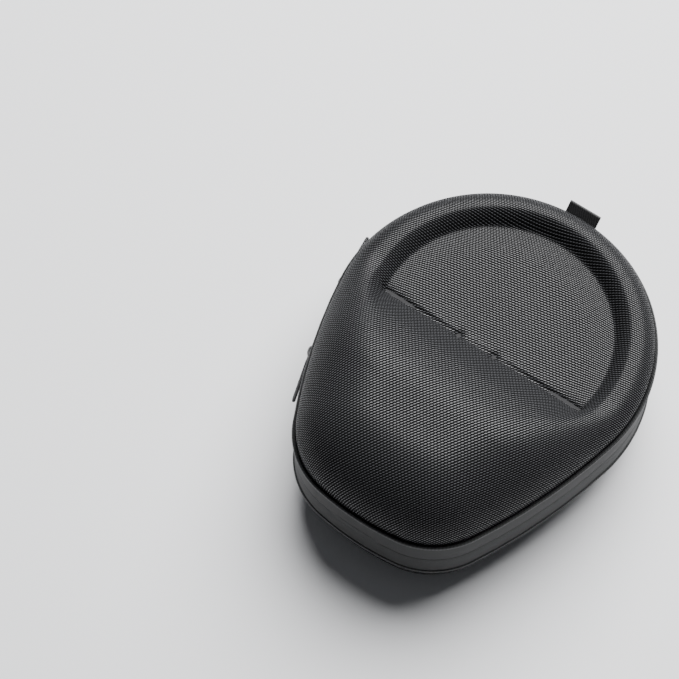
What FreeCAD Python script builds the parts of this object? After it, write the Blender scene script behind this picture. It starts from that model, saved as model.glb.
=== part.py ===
import FreeCAD, Part
import math
import os
from FreeCAD import Vector

# Headphone carrying case: two moulded clamshell halves joined by a zipped fabric band.
# Millimetres. +Z is up, +Y points to the round end, the hinge is along the flat end at -Y.
# The origin is the middle of the flat underside.

# Plan outline of the fabric band, a closed chain of tangent arcs
LENGTH = 240.0
ROUND_R = 98.0
CORNER_R = 50.0
CORNER_X = 19.0
SIDE_R = 365.0
END_R = 172.0
ROUND_Y = LENGTH / 2 - ROUND_R
END_Y = END_R - LENGTH / 2
CORNER_Y = END_Y - math.sqrt((END_R - CORNER_R) ** 2 - CORNER_X ** 2)

# Heights
BASE_DEPTH = 31.0
BAND_HEIGHT = 33.0
BAND_BOTTOM = BASE_DEPTH
BAND_TOP = BASE_DEPTH + BAND_HEIGHT
PARTING = BASE_DEPTH + BAND_HEIGHT / 2
SLOT_HALF = 0.8

# Wall build-up: nylon cover, moulded foam shell, soft lining
COVER = 1.2
CORE = 3.6
LINING = 1.0
WALL = COVER + CORE + LINING
BAND_WALL = 1.6
BASE_ROLL = 24.0

# Lid form above the band
RIM_RISE = 14.5
DOME_RISE = 40.0
FLOOR_RISE = 5.6
RIM_ROLL = 13.0
DOME_ROLL = 46.0
EDGE_LEAD = 1.5
RISE_START_Y = 25.0
RISE_RUN = 75.0
RECESS_R = 71.0
RECESS_Y = ROUND_Y + 3.7
RECESS_WALL = 9.0
CHORD_Y = ROUND_Y - 10.8
FLANK_RUN = 28.0
LID_HEADROOM = 60.0
GRID_STEP = 5.0
GRID_MARGIN = 6.0

# Edge trim
PIPING_PROUD = 1.0
PIPING_HEIGHT = 2.6
BINDING_WALL = 1.2
BINDING_HEIGHT = 7.0
COIL_WALL = 1.4
COIL_HEIGHT = 1.8

# Hinge at the flat end
HINGE_HALF_ANGLE = 13.0
GUSSET_GAP = 0.3
GUSSET_WALL = 0.8
GUSSET_HALF_HEIGHT = 8.0
STOP_ANGLE = 1.0
HINGE_ZONE_IN = 20.0
HINGE_ZONE_OUT = 5.0

# Foam island inside the headband's arc
ISLAND_R = 62.0
ISLAND_CHORD_Y = CHORD_Y + 6.0
ISLAND_TOP = 44.0
ISLAND_EDGE = 7.0
ISLAND_SKIN = 1.0

# Mesh pocket under the recess of the lid
POCKET_R = 60.0
POCKET_CHORD_Y = CHORD_Y + 8.0
POCKET_DEPTH = 4.0
MESH_WALL = 0.8
POCKET_BINDING = 3.0
ELASTIC_WIDTH = 6.0
ELASTIC_WALL = 1.0

# Zipper sliders and pullers
RUN_GAP = 0.35
PLATE_WALL = 1.6
PLATE_HALF_LENGTH = 6.0
PLATE_HALF_HEIGHT = 4.2
KEEL_HALF_LENGTH = 3.5
KEEL_HALF_HEIGHT = 0.45
FRONT_PARK = 6.6
REAR_PARK = 44.5
CROWN_HALF_LENGTH = 4.2
CROWN_POST = 1.5
CROWN_HALF_HEIGHT = 1.6
CROWN_RISE = 3.2
CROWN_BAR = 1.0
PIN_R = 0.6
PIN_STAND_OFF = 3.3
LINK_LENGTH = 10.0
LINK_HALF_HEIGHT = 3.1
LINK_ARM = 1.1
STRAP_LENGTH = 29.0
STRAP_WIDTH = 4.2
STRAP_WALL = 2.0
STRAP_GRIP = 4.0

# Webbing tab in the lid's seam at the round end
TAB_WIDTH = 21.5
TAB_REACH = 10.0
TAB_WALL = 2.0
TAB_ANGLE = 50.0
TAB_ROOT = 1.2

UP = Vector(0, 0, 1)
FLAT = 0.01  # tolerance for calling an edge level


def side_centre():
    """Centre of the left side arc, tangent to the round end and to the left corner arc."""
    to_round = SIDE_R - ROUND_R
    to_corner = SIDE_R - CORNER_R
    dx = -CORNER_X
    dy = CORNER_Y - ROUND_Y
    span = math.hypot(dx, dy)
    along = (to_round ** 2 - to_corner ** 2 + span ** 2) / (2 * span)
    across = math.sqrt(to_round ** 2 - along ** 2)
    ux = dx / span
    uy = dy / span
    return ux * along - uy * across, ROUND_Y + uy * along + ux * across


SIDE_X, SIDE_Y = side_centre()


def direction(from_x, from_y, to_x, to_y):
    return math.degrees(math.atan2(to_y - from_y, to_x - from_x))


SHOULDER = direction(-SIDE_X, SIDE_Y, 0, ROUND_Y)
HIP = direction(-SIDE_X, SIDE_Y, CORNER_X, CORNER_Y)
HEEL = direction(0, END_Y, CORNER_X, CORNER_Y)

# Each arc: centre x, centre y, radius, first angle, last angle, anticlockwise
ARCS = [
    (0, ROUND_Y, ROUND_R, SHOULDER, 180 - SHOULDER),
    (SIDE_X, SIDE_Y, SIDE_R, 180 - SHOULDER, 180 - HIP),
    (-CORNER_X, CORNER_Y, CORNER_R, 180 - HIP, 180 - HEEL),
    (0, END_Y, END_R, 180 - HEEL, 360 + HEEL),
    (CORNER_X, CORNER_Y, CORNER_R, HEEL, HIP),
    (-SIDE_X, SIDE_Y, SIDE_R, HIP, SHOULDER),
]


def polar(x, y, radius, angle, z=0.0):
    turn = math.radians(angle)
    return Vector(x + radius * math.cos(turn), y + radius * math.sin(turn), z)


def arc_edge(x, y, radius, first, last, z):
    middle = (first + last) / 2
    ends = [polar(x, y, radius, angle, z) for angle in (first, middle, last)]
    return Part.Arc(*ends).toShape()


def prism(inset, low, high):
    """The outline moved in by inset, from one height to another."""
    edges = [arc_edge(x, y, r - inset, a, b, low) for x, y, r, a, b in ARCS]
    return Part.Face(Part.Wire(edges)).extrude(UP * (high - low))


def ring(outer_inset, inner_inset, low, high):
    return prism(outer_inset, low, high).cut(prism(inner_inset, low, high))


def sector(x, y, inner, outer, first, last, low, high):
    """A block that follows an arc about (x, y)."""
    edges = [
        arc_edge(x, y, outer, first, last, low),
        Part.makeLine(polar(x, y, outer, last, low), polar(x, y, inner, last, low)),
        arc_edge(x, y, inner, last, first, low),
        Part.makeLine(polar(x, y, inner, first, low), polar(x, y, outer, first, low)),
    ]
    return Part.Face(Part.Wire(edges)).extrude(UP * (high - low))


def inset_at(x, y):
    """How far a point lies inside the outline."""
    best = LENGTH
    for cx, cy, radius, first, last in ARCS:
        turn = (direction(cx, cy, x, y) - first) % 360
        if turn <= last - first:
            best = min(best, radius - math.hypot(x - cx, y - cy))
    return best


def smooth(value):
    value = min(max(value, 0.0), 1.0)
    return value * value * (3 - 2 * value)


def rolled(depth, reach):
    """Quarter-round rise from 0 at the edge to 1 at depth = reach, straight below the edge."""
    start = EDGE_LEAD / reach
    at = start + depth / reach
    if at >= 1:
        return 1.0
    if depth >= 0:
        return math.sqrt(1 - (1 - at) ** 2)
    level = math.sqrt(1 - (1 - start) ** 2)
    return level + (1 - start) / level * depth / reach


def lid_rise(x, y, layer):
    """Height of a lid surface above the band, for a surface that lies layer inside the skin."""
    depth = inset_at(x, y) - BAND_WALL - layer
    domed = smooth((RISE_START_Y - y) / RISE_RUN)
    top = RIM_RISE + (DOME_RISE - RIM_RISE) * domed - layer
    reach = RIM_ROLL + (DOME_ROLL - RIM_ROLL) * domed - layer
    body = top * rolled(depth, reach)
    across = RECESS_R + RECESS_WALL + layer - math.hypot(x, y - RECESS_Y)
    along = y - CHORD_Y + FLANK_RUN + layer
    sunk = smooth(across / RECESS_WALL) * smooth(along / FLANK_RUN)
    return body + (FLOOR_RISE - layer - body) * sunk


def steps(low, high):
    count = round((high - low) / GRID_STEP)
    return [low + (high - low) * i / count for i in range(count + 1)]


def under_lid_surface(layer):
    """Everything below one surface of the lid, as a solid with that surface on top."""
    across = ROUND_R + GRID_MARGIN
    along = LENGTH / 2 + GRID_MARGIN
    rows = []
    for x in steps(-across, across):
        rows.append([Vector(x, y, BAND_TOP + lid_rise(x, y, layer)) for y in steps(-along, along)])
    surface = Part.BSplineSurface()
    surface.interpolate(rows)
    return surface.toShape().extrude(UP * -LENGTH)


def lid_form(layer):
    block = prism(BAND_WALL + layer, BAND_TOP, BAND_TOP + LID_HEADROOM)
    return block.common(under_lid_surface(layer))


def base_form(layer):
    block = prism(BAND_WALL + layer, layer, BAND_BOTTOM)
    low_edges = [e for e in block.Edges if e.BoundBox.ZMax < layer + FLAT]
    return block.makeFillet(BASE_ROLL - layer, low_edges)


def shells():
    """Cover, foam shell and lining of the base and of the lid."""
    depths = [0.0, COVER, COVER + CORE, WALL]
    base = [base_form(d) for d in depths]
    lid = [lid_form(d) for d in depths]
    panel = prism(BAND_WALL + BASE_ROLL, 0, COVER)
    return {
        "base_cover": base[0].cut(base[1]).cut(panel),
        "base_bottom_panel": panel,
        "base_shell": base[1].cut(base[2]),
        "base_lining": base[2].cut(base[3]),
        "lid_cover": lid[0].cut(lid[1]),
        "lid_shell": lid[1].cut(lid[2]),
        "lid_lining": lid[2].cut(lid[3]),
    }


def piping(low, rounded_z):
    roll = ring(-PIPING_PROUD, BAND_WALL, low, low + PIPING_HEIGHT)
    edges = [e for e in roll.Edges if abs(e.BoundBox.ZMax - rounded_z) < FLAT
             and e.BoundBox.ZLength < FLAT and on_outside(e)]
    return roll.makeFillet(PIPING_PROUD, edges)


def on_outside(edge):
    middle = edge.valueAt((edge.FirstParameter + edge.LastParameter) / 2)
    return inset_at(middle.x, middle.y) < 0


def behind_band(low, high, first_inset, wall):
    return ring(first_inset, first_inset + wall, low, high)


def hinge_zone(margin):
    """A block that holds the band's stretch along the flat end."""
    angle = HINGE_HALF_ANGLE + margin
    return sector(0, END_Y, END_R - HINGE_ZONE_IN, END_R + HINGE_ZONE_OUT, 270 - angle, 270 + angle, 0, BAND_TOP)


def band_parts():
    parts = {
        "base_zip_band": ring(0, BAND_WALL, BAND_BOTTOM, PARTING - SLOT_HALF),
        "lid_zip_band": ring(0, BAND_WALL, PARTING + SLOT_HALF, BAND_TOP),
        "base_piping": piping(BAND_BOTTOM - PIPING_HEIGHT, BAND_BOTTOM - PIPING_HEIGHT),
        "lid_piping": piping(BAND_TOP, BAND_TOP + PIPING_HEIGHT),
        "base_binding": behind_band(BAND_BOTTOM, BAND_BOTTOM + BINDING_HEIGHT, BAND_WALL, BINDING_WALL),
        "lid_binding": behind_band(BAND_TOP - BINDING_HEIGHT, BAND_TOP, BAND_WALL, BINDING_WALL),
    }
    coil_low = PARTING - SLOT_HALF - COIL_HEIGHT
    coil_high = PARTING + SLOT_HALF
    hinge = hinge_zone(0)
    parts["base_zip_coil"] = behind_band(coil_low, coil_low + COIL_HEIGHT, BAND_WALL, COIL_WALL).cut(hinge)
    parts["lid_zip_coil"] = behind_band(coil_high, coil_high + COIL_HEIGHT, BAND_WALL, COIL_WALL).cut(hinge)
    return parts


def hinge_parts():
    low = PARTING - GUSSET_HALF_HEIGHT
    high = PARTING + GUSSET_HALF_HEIGHT
    strip = behind_band(low, high, BAND_WALL + GUSSET_GAP, GUSSET_WALL)
    gusset = strip.common(hinge_zone(-2 * STOP_ANGLE))
    coil_low = PARTING - SLOT_HALF - COIL_HEIGHT
    crimps = behind_band(coil_low, coil_low + COIL_HEIGHT, BAND_WALL, COIL_WALL)
    crimps = crimps.common(hinge_zone(0)).cut(hinge_zone(-STOP_ANGLE))
    return {"hinge_gusset": gusset, "zip_end_stops": crimps}


def segment(radius, chord_y, low, high):
    """A disc about the recess centre, cut off straight at chord_y."""
    disc = Part.makeCylinder(radius, high - low, Vector(0, RECESS_Y, low))
    block = Part.makeBox(4 * radius, 2 * radius, high - low, Vector(-2 * radius, chord_y, low))
    return disc.common(block)


def island_form(skin):
    body = segment(ISLAND_R - skin, ISLAND_CHORD_Y + skin, WALL, ISLAND_TOP - skin)
    top = [e for e in body.Edges if e.BoundBox.ZMin > ISLAND_TOP - skin - FLAT]
    return body.makeFillet(ISLAND_EDGE - skin, top)


def interior_parts():
    foam = island_form(ISLAND_SKIN)
    ceiling = BAND_TOP + FLOOR_RISE - WALL
    low = ceiling - POCKET_DEPTH
    mesh = segment(POCKET_R, POCKET_CHORD_Y, low, low + MESH_WALL)
    wide = segment(POCKET_R, POCKET_CHORD_Y, low + MESH_WALL, ceiling)
    hollow = segment(POCKET_R - POCKET_BINDING, POCKET_CHORD_Y - ELASTIC_WIDTH, low + MESH_WALL, ceiling)
    half_chord = math.sqrt((POCKET_R - POCKET_BINDING) ** 2 - (POCKET_CHORD_Y - RECESS_Y) ** 2)
    elastic = Part.makeBox(2 * half_chord, ELASTIC_WIDTH, ELASTIC_WALL,
                           Vector(-half_chord, POCKET_CHORD_Y, low - ELASTIC_WALL))
    return {
        "island_foam": foam,
        "island_cover": island_form(0).cut(foam),
        "pocket_mesh": mesh,
        "pocket_binding": wide.cut(hollow),
        "pocket_elastic": elastic,
    }


def pull_tab(lid_parts):
    slab = Part.makeBox(TAB_WIDTH, TAB_REACH, TAB_WALL, Vector(-TAB_WIDTH / 2, 0, -TAB_WALL / 2))
    slab.rotate(Vector(0, 0, 0), Vector(1, 0, 0), TAB_ANGLE)
    slab.translate(Vector(0, LENGTH / 2 - TAB_ROOT, BAND_TOP + PIPING_HEIGHT / 2))
    for part in lid_parts:
        slab = slab.cut(part)
    return max(slab.Solids, key=lambda solid: solid.Volume)


def slider(x, y, radius, angle):
    """Slider body on an arc track: outer plate, keel through the slot, inner plate."""
    def block(inner, outer, half_length, half_height):
        half = math.degrees(half_length / radius)
        return sector(x, y, radius + inner, radius + outer, angle - half, angle + half,
                      PARTING - half_height, PARTING + half_height)
    inside = -BAND_WALL - COIL_WALL - RUN_GAP
    outer = block(RUN_GAP, RUN_GAP + PLATE_WALL, PLATE_HALF_LENGTH, PLATE_HALF_HEIGHT)
    inner = block(inside - PLATE_WALL, inside, PLATE_HALF_LENGTH, PLATE_HALF_HEIGHT)
    keel = block(inside, RUN_GAP, KEEL_HALF_LENGTH, KEEL_HALF_HEIGHT)
    body = outer.fuse([keel, inner]).removeSplitter()
    foot = RUN_GAP + PLATE_WALL
    arch = block(foot, foot + CROWN_RISE, CROWN_HALF_LENGTH, CROWN_HALF_HEIGHT)
    eye = block(foot, foot + CROWN_RISE - CROWN_BAR, CROWN_HALF_LENGTH - CROWN_POST, CROWN_HALF_HEIGHT)
    return body, arch.cut(eye)


def puller(pivot, heading):
    """Link and strap that lie from the pivot along a heading, in a local frame turned into place."""
    pin = Part.makeCylinder(PIN_R, 2 * LINK_HALF_HEIGHT, Vector(0, 0, -LINK_HALF_HEIGHT))
    arms = []
    for low in (-LINK_HALF_HEIGHT, LINK_HALF_HEIGHT - LINK_ARM):
        arms.append(Part.makeBox(LINK_LENGTH, 2 * PIN_R, LINK_ARM, Vector(0, -PIN_R, low)))
        arms.append(Part.makeCylinder(PIN_R, LINK_ARM, Vector(0, 0, low)))
    arms.append(Part.makeBox(LINK_ARM, 2 * PIN_R, 2 * LINK_HALF_HEIGHT,
                             Vector(LINK_LENGTH - LINK_ARM, -PIN_R, -LINK_HALF_HEIGHT)))
    link = pin.fuse(arms).removeSplitter()
    start = LINK_LENGTH - STRAP_GRIP
    half = STRAP_WIDTH / 2
    flat = Part.makeBox(STRAP_LENGTH - half, STRAP_WALL, STRAP_WIDTH, Vector(start, -STRAP_WALL / 2, -half))
    tip = Part.makeCylinder(half, STRAP_WALL, Vector(start + STRAP_LENGTH - half, -STRAP_WALL / 2, 0),
                            Vector(0, 1, 0))
    strap = flat.fuse(tip).removeSplitter().cut(link)
    strap = max(strap.Solids, key=lambda solid: solid.Volume)
    for shape in (link, strap):
        shape.rotate(Vector(0, 0, 0), UP, heading)
        shape.translate(pivot)
    return link, strap


def zipper_runners():
    """Two sliders parked on the left, one each side of where the round end meets the side arc."""
    parts = {}
    meet = 180 - SHOULDER
    tracks = {
        "front": (0, ROUND_Y, ROUND_R, meet - math.degrees(FRONT_PARK / ROUND_R), -90),
        "rear": (SIDE_X, SIDE_Y, SIDE_R, meet + math.degrees(REAR_PARK / SIDE_R), 90),
    }
    for name, (x, y, radius, angle, turn) in tracks.items():
        body, crown = slider(x, y, radius, angle)
        pivot = polar(x, y, radius + PIN_STAND_OFF, angle, PARTING)
        link, strap = puller(pivot, angle + turn)
        parts[name + "_slider"] = body
        parts[name + "_slider_crown"] = crown
        parts[name + "_puller_link"] = link
        parts[name + "_puller_strap"] = strap
        print(name, "track", round(x, 3), round(y, 3), "pivot", [round(v, 3) for v in pivot],
              "from", round(angle, 3), "shoulder", round(meet, 3), "hip", round(180 - HIP, 3))
    return parts


def build():
    parts = shells()
    parts.update(band_parts())
    parts.update(hinge_parts())
    parts.update(interior_parts())
    parts.update(zipper_runners())
    parts["lid_pull_tab"] = pull_tab([parts["lid_piping"], parts["lid_cover"], parts["lid_zip_band"]])
    return parts


def main():
    os.makedirs("parts", exist_ok=True)
    for name, shape in build().items():
        box = shape.BoundBox
        state = "valid" if shape.isValid() else "NOT VALID"
        print(name, state, len(shape.Solids), "solids", round(shape.Volume / 1000, 2), "cm3",
              [round(v, 1) for v in (box.XMin, box.YMin, box.ZMin, box.XMax, box.YMax, box.ZMax)])
        shape.exportStep("parts/" + name + ".step")


main()
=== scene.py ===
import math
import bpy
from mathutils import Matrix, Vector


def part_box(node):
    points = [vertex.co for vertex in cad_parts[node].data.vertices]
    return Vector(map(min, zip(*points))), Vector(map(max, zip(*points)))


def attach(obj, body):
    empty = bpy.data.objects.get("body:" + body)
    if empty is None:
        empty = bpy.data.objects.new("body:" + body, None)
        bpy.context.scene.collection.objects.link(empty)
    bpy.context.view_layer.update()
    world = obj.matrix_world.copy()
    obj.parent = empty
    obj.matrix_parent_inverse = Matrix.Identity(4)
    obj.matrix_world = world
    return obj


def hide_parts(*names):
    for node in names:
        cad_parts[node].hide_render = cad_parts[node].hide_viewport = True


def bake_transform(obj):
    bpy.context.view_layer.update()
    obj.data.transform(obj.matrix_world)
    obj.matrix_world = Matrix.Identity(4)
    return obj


bl_info = {
    "name": "Headphone Carrying Case",
    "version": (1, 0, 0),
    "blender": (4, 5, 0),
    "location": "3D View > Sidebar > Case",
    "description": "Fabric, trim, zip and lining of a moulded headphone case, built round its packed frame",
    "category": "Add Mesh",
}

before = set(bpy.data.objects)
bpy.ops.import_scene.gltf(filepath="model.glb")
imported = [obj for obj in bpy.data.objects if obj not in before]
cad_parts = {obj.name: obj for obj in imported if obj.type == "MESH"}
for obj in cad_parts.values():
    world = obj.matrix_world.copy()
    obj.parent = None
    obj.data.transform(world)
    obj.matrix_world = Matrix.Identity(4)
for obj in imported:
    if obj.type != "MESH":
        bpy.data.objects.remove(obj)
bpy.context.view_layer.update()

import bmesh
import bpy
import numpy as np
from bpy.props import FloatProperty, FloatVectorProperty, IntProperty, PointerProperty
from bpy.types import Operator, Panel, PropertyGroup
from mathutils import Matrix, Vector


def box_of(node):
    low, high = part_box(node)
    return Vector(low), Vector(high)


# ---- Heights and widths that the frame settles ----
BAND_LOW, LID_BAND_HIGH = box_of("lid_zip_band")
BASE_BAND_LOW, BASE_BAND_HIGH = box_of("base_zip_band")
LENGTH = LID_BAND_HIGH.y - BAND_LOW.y
ROUND_R = (LID_BAND_HIGH.x - BAND_LOW.x) / 2
ROUND_Y = LENGTH / 2 - ROUND_R
BAND_TOP = LID_BAND_HIGH.z
BAND_BOTTOM = BASE_BAND_LOW.z
PARTING = (BAND_LOW.z + BASE_BAND_HIGH.z) / 2
SLOT_HALF = (BAND_LOW.z - BASE_BAND_HIGH.z) / 2
DOME_RISE = box_of("lid_cover")[1].z - BAND_TOP


# ---- Small allowances, in metres ----
FLOOR_GAP = 0.0002
WELD = 1e-5
LEVEL = 1e-4
LAP = 0.0002
SOFT_EDGE = 0.0002
BAND_EDGE = 0.0003
BINDING_EDGE = 0.0004
FLAP_EDGE = 0.0005
FLAP_REACH = 0.0014
PIPING_EDGE = 0.00125
COIL_EDGE = 0.00035
POCKET_EDGE = 0.0009
TAB_BURIED = 0.001
BRIDGE_SUNK = 0.0003
WIRE_CORNER = 0.0012
STRAP_STEP = 0.00035
STRAP_ROOT = 0.0012

# ---- Shares ----
RIB_SWELL = 0.03
LID_PULL = 0.55
BASE_PULL = 0.9
SQUARED = 0.6


# ---- Settings ----
def metres(name, about, value):
    return FloatProperty(name=name, description=about, default=value, unit="LENGTH")


def degrees(name, about, value):
    return FloatProperty(name=name, description=about, default=math.radians(value), subtype="ANGLE")


def tint(name, about, value):
    return FloatVectorProperty(name=name, description=about, subtype="COLOR", default=value, size=3)


def position(name, about, value):
    return FloatVectorProperty(name=name, description=about, subtype="TRANSLATION", default=value, size=3)


class CaseOutline(PropertyGroup):
    """Plan outline of the band: tangent arcs round the end, shoulders and corners."""
    corner_radius: metres("Corner radius", "Radius of the two corners by the hinge", 0.050)
    corner_offset: metres("Corner offset", "Corner centre to the middle line", 0.019)
    side_radius: metres("Side radius", "Radius of the two long sides", 0.365)
    hinge_radius: metres("Hinge end radius", "Radius of the flat end", 0.172)
    band_wall: metres("Band thickness", "Thickness of the zip band", 0.0016)


class CaseLid(PropertyGroup):
    """Moulded form of the lid above the band."""
    rim_rise: metres("Rim height", "Rim crest above the band", 0.0145)
    floor_rise: metres("Recess height", "Floor of the recess above the band", 0.0056)
    rim_roll: metres("Rim roll", "Edge to rim crest", 0.013)
    dome_roll: metres("Dome roll", "Edge to dome top", 0.046)
    edge_lead: metres("Edge lead", "How far outside the edge the roll would start", 0.0015)
    rise_start: metres("Rise start", "Where the dome starts to rise", 0.025)
    rise_run: metres("Rise run", "Length of the rise", 0.075)
    recess_radius: metres("Recess radius", "Radius of the recess floor", 0.071)
    recess_shift: metres("Recess shift", "Recess centre ahead of the round end's", 0.0037)
    recess_wall: metres("Recess wall", "Width of the recess wall", 0.009)
    chord_drop: metres("Chord drop", "Straight edge behind the round end's centre", 0.0108)
    flank_run: metres("Flank run", "Width of the flank up to the dome", 0.028)
    cover: metres("Cover", "Thickness of the nylon cover", 0.0012)
    wall: metres("Wall", "Cover, foam and lining together", 0.0058)
    pile: metres("Pile", "Depth of the lining's pile in the lid", 0.0010)
    lining: metres("Lining", "Thickness of the lining", 0.001)
    mesh_count: IntProperty(name="Mesh count", description="Squares across a moulded surface", default=210)
    crease_ridge: metres("Crease ridge", "Height of the pressed ridge along the chord", 0.0005)
    crease_groove: metres("Crease groove", "Depth of the groove beside the ridge", 0.0012)
    crease_fade: metres("Crease fade", "Stretch over which the crease dies out at its ends", 0.005)
    crease_calm: metres("Crease middle", "Half the stretch where the groove is at its shallowest", 0.012)
    ridge_back: metres("Ridge place", "Chord to the ridge's top, towards the recess", 0.0012)
    ridge_wide: metres("Ridge width", "Half width of the ridge", 0.0011)
    groove_past: metres("Groove place", "Chord to the groove's bottom, towards the dome", 0.0022)
    groove_wide: metres("Groove width", "Half width of the groove", 0.0016)
    wrinkle_past: metres("Pucker place", "Chord to the middle of a pucker", 0.0015)
    wrinkle_wide: metres("Pucker width", "Half width of a pucker", 0.0026)
    wrinkle_long: metres("Pucker length", "Half length of a pucker", 0.0036)
    wrinkle_depth: metres("Wrinkle depth", "Depth of the two puckers in the crease", 0.0019)
    wrinkle_first: metres("First pucker", "Its distance across from the middle", -0.016)
    wrinkle_second: metres("Second pucker", "Its distance across from the middle", 0.009)
    base_roll: metres("Base roll", "Radius of the base's lower edge", 0.024)


class CaseZip(PropertyGroup):
    """Zip: coil, sliders, pullers and the hinge strip."""
    tape_gap: metres("Tape gap", "Half the gap between the zip tapes", 0.00015)
    binding: metres("Binding", "Thickness of the inner binding", 0.0012)
    tooth_pitch: metres("Coil pitch", "Distance between turns of one coil", 0.0016)
    cord_out: metres("Coil cord", "Band's inner face to the coil's sewn cord", 0.0003)
    cord_in: metres("Coil cord depth", "Band's inner face to the far side of that cord", 0.0011)
    tooth_wide: metres("Turn width", "Width of one turn of the coil", 0.0013)
    coil_wall: metres("Coil", "Thickness of the coil", 0.0014)
    hinge_half: degrees("Hinge half angle", "Half the stretch that has no coil", 13)
    hinge_bend: metres("Hinge bend", "Half the height over which the hinge bends", 0.0024)
    panel_tuck: degrees("Panel tuck", "Stretch over which the hinge cloth tucks in", 6)
    panel_half: metres("Hinge panel", "Half the height of the outer hinge cloth", 0.0027)
    panel_proud: metres("Panel proud", "How far that cloth stands past the band", 0.0001)
    panel_wall: metres("Panel", "Thickness of that cloth", 0.0006)
    gusset_gap: metres("Gusset gap", "Inner binding to the gusset", 0.0001)
    gusset_wall: metres("Gusset", "Thickness of the gusset", 0.0008)
    gusset_short: degrees("Gusset margin", "Coil's end to the gusset's end", 2.005)
    front_park: metres("Front slider", "Its distance from the shoulder", 0.0066)
    rear_park: metres("Rear slider", "Its distance from the shoulder", 0.0445)
    run_gap: metres("Running gap", "Slider plate to band", 0.00035)
    plate_wall: metres("Plate", "Slider plate thickness", 0.0016)
    plate_length: metres("Plate length", "Slider length", 0.012)
    plate_height: metres("Plate height", "Slider height", 0.0084)
    plate_edge: metres("Plate edge", "Rounding of the outer plate", 0.0006)
    inner_edge: metres("Inner plate edge", "Rounding of the inner plate", 0.0005)
    keel_edge: metres("Keel edge", "Rounding of the keel", 0.0001)
    plate_waist: FloatProperty(name="Plate waist", description="Height of a plate's far end by its near end",
                               default=0.74)
    keel_length: metres("Keel length", "Slider keel length", 0.007)
    keel_height: metres("Keel height", "Slider keel height", 0.0009)
    bridge_length: metres("Bridge length", "Length of the bridge", 0.0084)
    bridge_width: metres("Bridge width", "Width of the bridge", 0.0032)
    bridge_rise: metres("Bridge rise", "Rise of the bridge", 0.0032)
    bridge_bar: metres("Bridge bar", "Thickness of the bridge", 0.001)
    pivot_out: metres("Pin", "Link pin to band face", 0.0033)
    wire: metres("Wire", "Radius of the link's wire", 0.00055)
    link_length: metres("Link length", "Length of the wire link", 0.010)
    link_width: metres("Link width", "Width of the wire link", 0.0062)
    strap_start: metres("Strap start", "Pin to strap", 0.006)
    strap_length: metres("Strap length", "Length of the strap", 0.029)
    strap_width: metres("Strap width", "Width of the strap", 0.0042)
    strap_wall: metres("Strap", "Thickness of the strap", 0.002)
    strap_rib: metres("Strap rib", "Distance between the braid's ribs", 0.0021)


class CaseInside(PropertyGroup):
    """Island and pocket."""
    island_edge: metres("Island edge", "Roll of the island's edge", 0.007)
    island_crown: metres("Island crown", "Swell of the island's top", 0.0012)
    net_sag: metres("Net sag", "How far the net hangs", 0.0012)
    net_wall: metres("Net", "Thickness of the net", 0.0004)
    net_pitch: metres("Net pitch", "Distance between the net's threads", 0.0032)
    pocket_edge: metres("Pocket edge", "Width of the bound edge", 0.003)
    gather_depth: metres("Gather depth", "Depth of a gather", 0.00025)
    elastic_wall: metres("Elastic", "Thickness of the elastic", 0.0006)
    gather_pitch: metres("Gather", "Distance between the elastic's gathers", 0.0032)


class CaseTrim(PropertyGroup):
    """Webbing tab."""
    tab_width: metres("Tab width", "Width of the pull tab", 0.0215)
    tab_reach: metres("Tab reach", "Length of the pull tab", 0.010)
    tab_wall: metres("Tab", "Thickness of the folded webbing", 0.002)
    tab_root: metres("Tab root", "Root of the tab behind the band's face", 0.0012)
    tab_angle: degrees("Tab angle", "Slope of the tab", 50)


class CaseFinish(PropertyGroup):
    """Colours and weave sizes."""
    yarn_length: metres("Yarn float", "Length of a yarn's crown", 0.0019)
    yarn_width: metres("Yarn width", "Distance between yarns of the cover", 0.00086)
    yarn_turn: degrees("Yarn turn", "Turn of the weave on the case", 35)
    nylon_crown: tint("Nylon crown", "Top of a yarn", (0.085, 0.087, 0.094))
    # Near-black colour of the gaps between yarns: painted shade between the yarns.
    nylon_gap_shade: tint("Nylon valley", "Gap between yarns", (0.0012, 0.0012, 0.0014))
    tape: tint("Band", "Zip band", (0.0165, 0.0170, 0.0175))
    webbing: tint("Webbing", "Pull tab and pullers", (0.010, 0.010, 0.011))
    lining: tint("Lining", "Brushed lining", (0.044, 0.044, 0.048))
    stitch_row: metres("Stitch row", "Stitch line to the band's middle", 0.0034)
    stitch_pitch: metres("Stitch pitch", "Length of one stitch", 0.0026)
    metal: tint("Metal", "Painted zip sliders", (0.018, 0.018, 0.019))


class CaseStage(PropertyGroup):
    """Floor, lights and camera."""
    camera_place: position("Camera", "Place of the camera", (0.2692, -0.5149, 1.2341))
    camera_tilt: degrees("Tilt", "Camera elevation", 63.13)
    camera_turn: degrees("Turn", "Camera azimuth", 35.33)
    lens: FloatProperty(name="Lens", description="Focal length in millimetres", default=116.6)
    floor: tint("Floor", "Floor colour", (0.82, 0.825, 0.84))
    key_place: position("Window", "Place of the soft light", (-0.25, 1.35, 1.90))
    key_size: metres("Window size", "Width of the soft light", 2.55)
    key_power: FloatProperty(name="Window power", description="Power of the soft light", default=206.0)
    fill_level: FloatProperty(name="Fill level", description="Brightness of the surroundings", default=0.09)


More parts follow.
